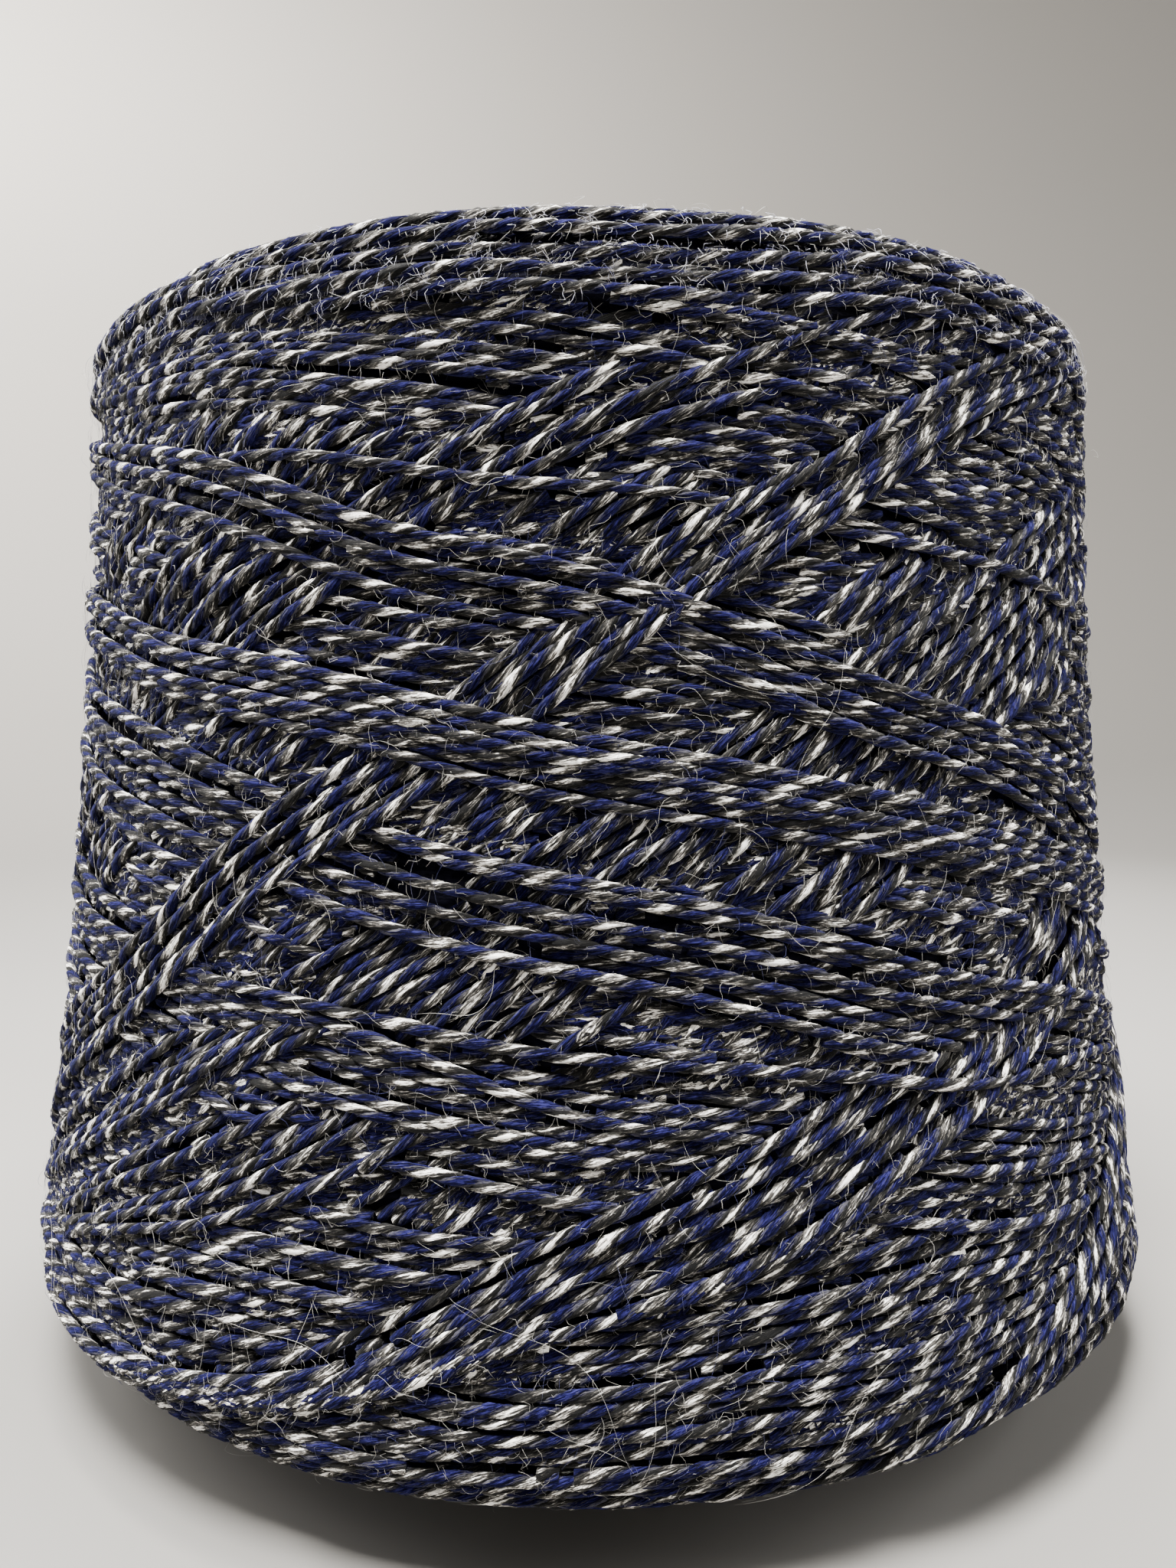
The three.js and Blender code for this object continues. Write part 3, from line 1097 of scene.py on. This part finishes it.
def body_yarn():
    """Yarn in the depth between the strands, coloured nearly black: painted shade."""
    made = Material("yarn_in_shade", 0.9, 0.03)
    place = made.object_place()
    blotches = made.noise(place, (300, 300, 900), detail=4)
    made.color(made.ramp(blotches, [(0.4, (0.001, 0.001, 0.003)), (0.7, (0.01, 0.01, 0.018))]))
    made.bump(blotches, 0.6)
    return made.material


SEAM_PITCH = 0.048  # in metres, as the shader's places are
SEAM_WIDTH = 0.012  # of a turn


def cardboard():
    """Rolled paper board with fibres, specks and a spiral seam."""
    made = Material("cardboard", 0.8)
    place = made.object_place()
    x, y, z = made.split(place)
    turn = made.math("DIVIDE", made.math("ARCTAN2", y, x), TURN)
    climb = made.math("FRACT", made.math("ADD", turn, made.math("DIVIDE", z, SEAM_PITCH)), 0.0)
    seam = made.math("LESS_THAN", climb, SEAM_WIDTH)
    fibres = made.noise(place, (500, 500, 1400), detail=5, roughness=0.7)
    specks = made.noise(place, scale=2200, detail=1)
    board = made.ramp(
        fibres,
        [(0.3, (0.15, 0.12, 0.083)), (0.5, (0.205, 0.167, 0.117)), (0.7, (0.25, 0.205, 0.146))],
    )
    speck = made.contrast(specks, 0.68, 8.0, clamp=True)
    board = made.mix(speck, board, (0.16, 0.12, 0.08))
    made.color(made.mix(made.math("MULTIPLY", seam, 0.6), board, (0.12, 0.09, 0.06)))
    made.bump(made.math("SUBTRACT", fibres, seam), 0.08)
    return made.material


def plain_stage():
    """A pale surface, a little darker up the wall."""
    made = Material("pale_stage", 0.7, 0.1)
    up = made.math("MULTIPLY", made.split(made.object_place())["Z"], 2.5, clamp=True)
    made.color(made.mix(up, (0.165, 0.159, 0.149), (0.150, 0.144, 0.134)))
    return made.material


# ==== The object ====

navy_tubes, grey_tubes = strand_tubes()
navy_pieces = add_tubes("navy_ply", navy_tubes, navy_ply())
grey_pieces = add_tubes("grey_ply", grey_tubes, grey_ply())
for piece in navy_pieces + grey_pieces:
    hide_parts("outer_yarn_layer")

body = add_body(body_yarn())
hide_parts("inner_yarn_layers")

pale_fibre = loose_fibre("pale_fibre", (0.33, 0.32, 0.295))
dark_fibre = loose_fibre("navy_fibre", (0.012, 0.014, 0.07))
add_hair("pale_fuzz", 5500, pale_fibre, (2.5, 7), 0.3, 0.2, 8, (0.011, 0.018), 0.8)
add_hair("navy_fuzz", 2500, dark_fibre, (2.5, 7), 0.3, 0.16, 8, (0.012, 0.020), 0.7)
add_hair("pale_nap", 46000, pale_fibre, (1.0, 3.0), 0.1, 0.3, 4, (0.012, 0.022), 0.7)
add_hair("navy_nap", 16000, dark_fibre, (1.0, 3.0), 0.08, 0.3, 4, (0.016, 0.028), 0.4)
add_hair("long_fuzz", 200, pale_fibre, (12, 30), 0.7, 0.08, 28, (0.012, 0.02), 1.0)

# More nap on the rim at the top, which catches the light; its paler fibre colour is painted light
rim_fibre_painted_light = loose_fibre("rim_fibre_painted_light", (0.5, 0.5, 0.58))
add_hair("rim_nap", 12000, rim_fibre_painted_light, (1.0, 3.0), 0.14, 0.3, 4, (0.014, 0.024), 0.7, True)

cone = bpy.data.objects["paper_cone"]
cone.data.materials.clear()
cone.data.materials.append(cardboard())

# ==== Stage, lights and camera, in metres ====

FLOOR_RADIUS = 0.75
COVE_RADIUS = 0.6  # of the curve from the floor up into the wall
STAGE_HEIGHT = 1.8
STAGE_SEGMENTS = 96


def add_stage():
    """A round studio floor that curves up into a wall all round."""
    floor = np.append(0.001, np.linspace(0.1, FLOOR_RADIUS, 8))
    curve = np.linspace(0, math.pi / 2, 24)[1:]
    cove_radius = FLOOR_RADIUS + COVE_RADIUS * np.sin(curve)
    cove_height = COVE_RADIUS * (1 - np.cos(curve))
    radius = np.concatenate([floor, cove_radius, cove_radius[-1:]])
    height = np.concatenate([np.zeros(len(floor)), cove_height, [STAGE_HEIGHT]])
    angle = np.arange(STAGE_SEGMENTS) * TURN / STAGE_SEGMENTS
    points = ring_points(radius, height, angle)
    ring = np.arange(len(radius) - 1)
    quads = ring_quads(ring, ring + 1, STAGE_SEGMENTS)
    stage = build_mesh("stage", points.reshape(-1, 3) / MM, [quads], plain_stage())


def add_area(name, place, target, size, watts, color):
    """A rectangular light at a place that faces a target, hidden from the camera."""
    light = bpy.data.lights.new(name, "AREA")
    light.shape = "RECTANGLE"
    light.size, light.size_y = size
    light.energy = watts
    light.color = color
    lamp = bpy.data.objects.new(name, light)
    bpy.context.scene.collection.objects.link(lamp)
    lamp.location = place
    direction = Vector(target) - Vector(place)
    lamp.rotation_euler = direction.to_track_quat("-Z", "Y").to_euler()
    lamp.visible_camera = False


add_stage()
middle = (0, 0, 0.08)
warm = (1, 0.985, 0.96)
add_area("key", (-0.10, -0.29, 0.74), (0, -0.04, 0.10), (0.22, 0.22), 32, warm)
add_area("overhead", (0, -0.06, 0.75), (0, -0.06, 0.15), (0.25, 0.25), 22, warm)
add_area("back_top", (0.05, 0.50, 0.55), (0, 0, 0.12), (0.35, 0.3), 16, (1, 0.985, 0.97))
add_area("left_strip", (-0.55, 0.05, 0.35), middle, (0.2, 0.5), 9, (1, 0.99, 0.97))
add_area("right_strip", (0.55, -0.10, 0.35), middle, (0.15, 0.4), 4.5, (1, 0.99, 0.97))
add_area("front_fill", (0, -1.15, 0.25), (0, 0, 0.04), (0.8, 0.3), 5, (1, 0.98, 0.95))
add_area("wall_wash", (-0.6, 0.60, 0.9), (-0.6, 1.3, 0.65), (0.6, 0.3), 80, (1, 0.965, 0.92))

world = bpy.data.worlds.new("studio")
world.use_nodes = True
background = world.node_tree.nodes["Background"]
background.inputs["Color"].default_value = (0.9, 0.92, 1.0, 1)
background.inputs["Strength"].default_value = 0.02
bpy.context.scene.world = world

CAMERA_DISTANCE = 0.2106  # in front of the axis, in metres
CAMERA_HEIGHT = 0.0957
CAMERA_PITCH = math.radians(2.9)  # downwards
FOCAL_LENGTH = 27.04  # in millimetres, as the sensor's width is
SENSOR_WIDTH = 36
CLIP_START = 0.01

camera_data = bpy.data.cameras.new("camera")
camera_data.lens = FOCAL_LENGTH
camera_data.sensor_width = SENSOR_WIDTH
camera_data.clip_start = CLIP_START
camera = bpy.data.objects.new("camera", camera_data)
bpy.context.scene.collection.objects.link(camera)
camera.location = (0, -CAMERA_DISTANCE, CAMERA_HEIGHT)
camera.rotation_euler = (math.pi / 2 - CAMERA_PITCH, 0, 0)
bpy.context.scene.camera = camera
